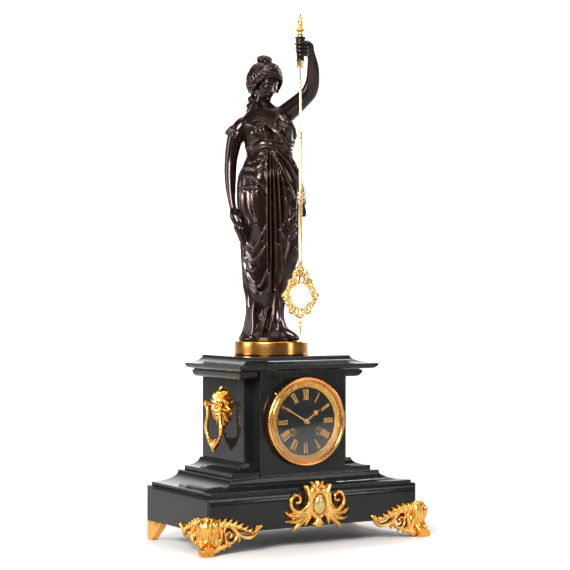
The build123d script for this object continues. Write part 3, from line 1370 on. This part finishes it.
def body_section(shares, fold, shrink):
    """One level outline of the draped body, moulded in front and waved by its folds behind."""
    z, right, left, front, back, depth = shares
    points = []
    for step in range(SECTION_POINTS):
        turn = 2 * math.pi * step / SECTION_POINTS
        c, s = math.cos(turn), math.sin(turn)
        wide = left if c > 0 else right
        deep = back if s > 0 else front
        oval = (abs(c) ** OVAL_POWER + abs(s) ** OVAL_POWER) ** (-1 / OVAL_POWER)
        ahead = min(1, max(0, -FRONT_STEEPNESS * s))
        behind = min(1, max(0, FRONT_STEEPNESS * s))
        wave = 1 + fold * depth * behind * FOLD_DEPTH_SHARE * math.cos(FOLD_COUNT * turn)
        x, y = wide * oval * c, deep * oval * s
        push = fold * ahead * front_relief(x, z)
        steep = math.hypot(c / wide, s / deep)
        x += push * c / wide / steep
        y += push * s / deep / steep
        points.append(sized((shrink * wave * x, shrink * wave * y)))
    even = [step / SECTION_POINTS for step in range(SECTION_POINTS + 1)]
    outline = Edge.make_spline(points, periodic=True, parameters=even)
    return Pos(0, 0, FIGURE_H * z) * make_face(outline)


def figure_hollow():
    """The space inside the hollow casting, open below."""
    rows = [shares for shares in BODY_SECTION_SHARES if shares[0] < HOLLOW_SHARE]
    hollow = loft([body_section(shares, 0, HOLLOW_SHARE) for shares in rows])
    return hollow + extrude(body_section(rows[0], 0, HOLLOW_SHARE), -OVER)


def figure_body():
    """The draped body, from the ground under its feet to the base of the neck."""
    body = loft([body_section(shares, 1, 1) for shares in BODY_SECTION_SHARES])
    return one_solid(body + hip_sash() + bare_foot() + train() - figure_hollow())


def limb(places, radii):
    """A limb: tapered lengths between round joints."""
    parts = [Pos(*place) * Sphere(radius) for place, radius in zip(places, radii)]
    for a, b, start, stop in zip(places, places[1:], radii, radii[1:]):
        span = Vector(*b) - Vector(*a)
        cone = Cone(start, stop, span.length, align=(Align.CENTER, Align.CENTER, Align.MIN))
        parts.append(Plane(origin=a, z_dir=span) * cone)
    whole = parts[0]
    for part in parts[1:]:
        whole = whole + part
    return whole


def figure_head():
    """The head with its hair gathered in a knot, and the neck."""
    low, high = sized(NECK_SHARES), sized(NECK_TOP_SHARES)
    neck = limb([low[:3], high[:3]], [low[3], high[3]])
    skull = egg(sized(SKULL_SHARES[:3]), sized(SKULL_SHARES[3:]))
    bun = egg(sized(BUN_SHARES[:3]), sized(BUN_SHARES[3:]))
    return neck + skull + bun


def lowered_arm():
    """The figure's right arm, hanging and gathering a fold of the skirt."""
    return limb([sized(place) for place in LOW_ARM_SHARES], sized(LOW_ARM_R_SHARES))


def hip_sash():
    """The bunch of drapery that falls at the figure's left hip."""
    return limb([sized(place) for place in SASH_SHARES], sized(SASH_R_SHARES))


def bare_foot():
    """The foot that shows under the hem."""
    return limb([sized(place) for place in FOOT_SHARES], sized(FOOT_R_SHARES))


def train():
    """The end of the cloth that falls to the ground beside the foot."""
    return limb([sized(place) for place in TRAIN_SHARES], sized(TRAIN_R_SHARES))


def raised_arm():
    """The figure's left arm, raised to hold the torch in front."""
    grip = to_figure(0, PENDULUM_Y, TORCH_Z + TORCH_H / 2)
    wrist = tuple(a + b for a, b in zip(grip, sized(HIGH_WRIST_OUT_SHARES)))
    places = [sized(HIGH_SHOULDER_SHARES), sized(HIGH_ELBOW_SHARES), sized(HIGH_FOREARM_SHARES), wrist, grip]
    return limb(places, sized(HIGH_ARM_R_SHARES))


def figure():
    """The figure's castings, each cut to seat against the one that carries it."""
    body = figure_body()
    whole = one_solid(body + figure_hollow())
    place = figure_place()
    ground = Pos(0, 0, -FIGURE_H / 2) * Box(FIGURE_H, FIGURE_H, FIGURE_H)
    solid = whole + ground
    return {
        "figure_body": place * body,
        "figure_head": place * one_solid(figure_head() - solid),
        "lowered_arm": place * one_solid(lowered_arm() - solid),
        "raised_arm": one_solid(place * (raised_arm() - solid) - torch()),
    }


def torch():
    """The ribbed torch in the raised hand."""
    foot, top = TORCH_Z, TORCH_Z + TORCH_H
    points = [(0, foot), (TORCH_FOOT_R, foot)]
    step = TORCH_H / (TORCH_RINGS + 1)
    for ring in range(TORCH_RINGS):
        z = foot + step * (ring + 1)
        reach = TORCH_FOOT_R + (TORCH_TOP_R - TORCH_FOOT_R) * (ring + 1) / (TORCH_RINGS + 1)
        points.append((reach * TORCH_WAIST_SHARE, z - step / 2))
        points.append((reach, z))
    points += [(TORCH_TOP_R * TORCH_WAIST_SHARE, top - step / 2), (TORCH_TOP_R, top), (0, top)]
    return turned_z(points, y=PENDULUM_Y)


def top_spire():
    """The gilt spire that stands out of the torch."""
    foot = TORCH_Z + TORCH_H
    low, high = [foot + SPIRE_H * share for share in SPIRE_DISC_SHARES]
    cone = foot + SPIRE_H * SPIRE_CONE_SHARE
    return turned_z((
        (0, foot),
        (SPIRE_NECK_R + SPIRE_NECK_R / 4, foot),
        (SPIRE_NECK_R, low),
        (SPIRE_DISC_R, (low + high) / 2),
        (SPIRE_NECK_R, high),
        (SPIRE_NECK_R, cone),
        (0, foot + SPIRE_H),
    ), y=PENDULUM_Y)


# Pendulum
def pendulum_cock():
    """The small fork under the torch with the pin that the pendulum swings on."""
    inner = COCK_D / 2 - COCK_CHEEK
    bridge = PIVOT_Z + SPRING_KNUCKLE_R + FREE
    cock = block(-COCK_W / 2, COCK_W / 2, -COCK_D / 2, COCK_D / 2, COCK_Z, TORCH_Z)
    cock = cock - block(-COCK_W, COCK_W, -inner, inner, COCK_Z - OVER, bridge)
    cock = cock + rod_y(COCK_PIN_R, -inner - RUN, inner + RUN, z=PIVOT_Z)
    return Pos(0, PENDULUM_Y, 0) * cock


def suspension_spring():
    """The thin suspension strip, its upper end rolled round the pin."""
    half = COCK_D / 2 - COCK_CHEEK - FREE
    strip = block(-SPRING_T / 2, SPRING_T / 2, -half, half, PIVOT_Z - SPRING_L, PIVOT_Z)
    strip = strip + rod_y(SPRING_KNUCKLE_R, -half, half, z=PIVOT_Z)
    strip = strip - rod_y(COCK_PIN_R + RUN, -half - OVER, half + OVER, z=PIVOT_Z)
    return Pos(0, PENDULUM_Y, 0) * strip


def rod_foot():
    """Height of the lower end of the pendulum's rod."""
    return PIVOT_Z - SPRING_L - ROD_HOOK_L - ROD_UPPER_L - ROD_LOWER_L


def pendulum_rod():
    """The gilt rod with its hook block, collar and starred knop."""
    top = PIVOT_Z - SPRING_L
    neck = top - ROD_HOOK_L
    collar = neck - ROD_UPPER_L
    knop = neck - ROD_STAR_DROP
    foot = rod_foot()
    middle = knop - ROD_STAR_L / 2
    return turned_z((
        (0, top), (ROD_HOOK_R, top), (ROD_HOOK_R, neck), (ROD_UPPER_R, neck),
        (ROD_UPPER_R, collar + ROD_COLLAR_L), (ROD_COLLAR_R, collar + ROD_COLLAR_L / 2),
        (ROD_LOWER_R, collar), (ROD_LOWER_R, knop), (ROD_STAR_R, middle), (ROD_LOWER_R, knop - ROD_STAR_L),
        (ROD_LOWER_R, foot + ROD_COLLAR_L), (ROD_COLLAR_R, foot + ROD_COLLAR_L / 2),
        (ROD_COLLAR_R, foot), (0, foot),
    ), y=PENDULUM_Y)


def bob_mirror_z():
    """Height of the middle of the bob's mirror."""
    return rod_foot() - BOB_H * BOB_MIRROR_SHARE


def bob_frame():
    """The scrolled gilt frame of the bob with its long pointed drop."""
    top = rod_foot()
    low = top - BOB_H
    half = BOB_W / 2
    right = [(half * x, low + BOB_H * z) for x, z in BOB_SHARES]
    left = [(-x, z) for x, z in reversed(right[1:-1])]
    plate = along_y(face_of(*right, *left), -BOB_T / 2, BOB_T / 2)
    plate = plate - rod_y(BOB_MIRROR_R + RUN, -BOB_T - OVER, BOB_T + OVER, z=bob_mirror_z())
    tip = turned_z((
        (0, low + BOB_TIP_R), (BOB_TIP_R / 2, low + BOB_TIP_R), (BOB_TIP_R, low - BOB_TIP_R),
        (BOB_TIP_R / 2, low - 2 * BOB_TIP_R), (0, low - BOB_TIP_L),
    ))
    return Pos(0, PENDULUM_Y, 0) * (plate + tip)


def bob_mirror():
    """The round mirror held in the bob's frame."""
    half = BOB_MIRROR_T / 2
    return rod_y(BOB_MIRROR_R, PENDULUM_Y - half, PENDULUM_Y + half, z=bob_mirror_z())


def all_pieces():
    """Every piece of the clock by its name."""
    pieces = {
        **plinth(),
        "cove_slab": cove_slab(),
        "surbase_moulding": surbase_moulding(),
        "dial_block": dial_block(),
        "front_slab": front_slab(),
        "side_slabs": pair(side_slab(-1), side_slab(1)),
        "back_slab": back_slab(),
        "bed_moulding": bed_moulding(),
        "cornice_slab": cornice_slab(),
        "front_foot_left": front_foot(-1),
        "front_foot_right": front_foot(1),
        "rear_feet": pair(rear_foot(-1), rear_foot(1)),
        "front_mount": front_mount(),
        "cabochon": cabochon(),
        "lion_masks": pair(lion_mask(-1), lion_mask(1)),
        "drop_handle_left": drop_handle(-1),
        "drop_handle_right": drop_handle(1),
        "dial": dial(),
        "dial_seat": dial_seat(),
        "bezel_ring": bezel_ring(),
        "bezel_glass": bezel_glass(),
        "bezel_slip": bezel_slip(),
        "hour_hand": set_hand(hand(HOUR_HAND_L, HOUR_PIPE_R, HOUR_HAND_Y), HOUR_ANGLE),
        "minute_hand": set_hand(hand(MINUTE_HAND_L, CANNON_R, MINUTE_HAND_Y), MINUTE_ANGLE),
        "front_plate": front_plate(),
        "back_plate": back_plate(),
        "plate_pillars": plate_pillars(),
        "case_straps": case_straps(),
        "going_barrel": barrel(GOING, False, SECOND),
        "strike_barrel": barrel(STRIKE, True, CENTRE),
        "going_arbor": winding_arbor(GOING),
        "strike_arbor": winding_arbor(STRIKE),
        "second_wheel": second_wheel(),
        "centre_wheel": centre_wheel(),
        "third_wheel": third_wheel(),
        "escape_wheel": escape_wheel(),
        "minute_wheel": minute_wheel(),
        "hour_wheel": hour_wheel(),
        "crutch": crutch(),
        "bell": bell(),
        "bell_stand": bell_stand(),
        "hammer": hammer(),
        "rear_ring": rear_ring(),
        "rear_door": rear_door(),
        "spindle_bush": spindle_bush(),
        "turn_spindle": turn_spindle(),
        "turntable_drum": turntable_drum(),
        **figure(),
        "torch": torch(),
        "top_spire": top_spire(),
        "pendulum_cock": pendulum_cock(),
        "suspension_spring": suspension_spring(),
        "pendulum_rod": pendulum_rod(),
        "bob_frame": bob_frame(),
        "bob_mirror": bob_mirror(),
    }
    return pieces


for name, piece in all_pieces().items():
    export_step(piece, f"parts/{name}.step")
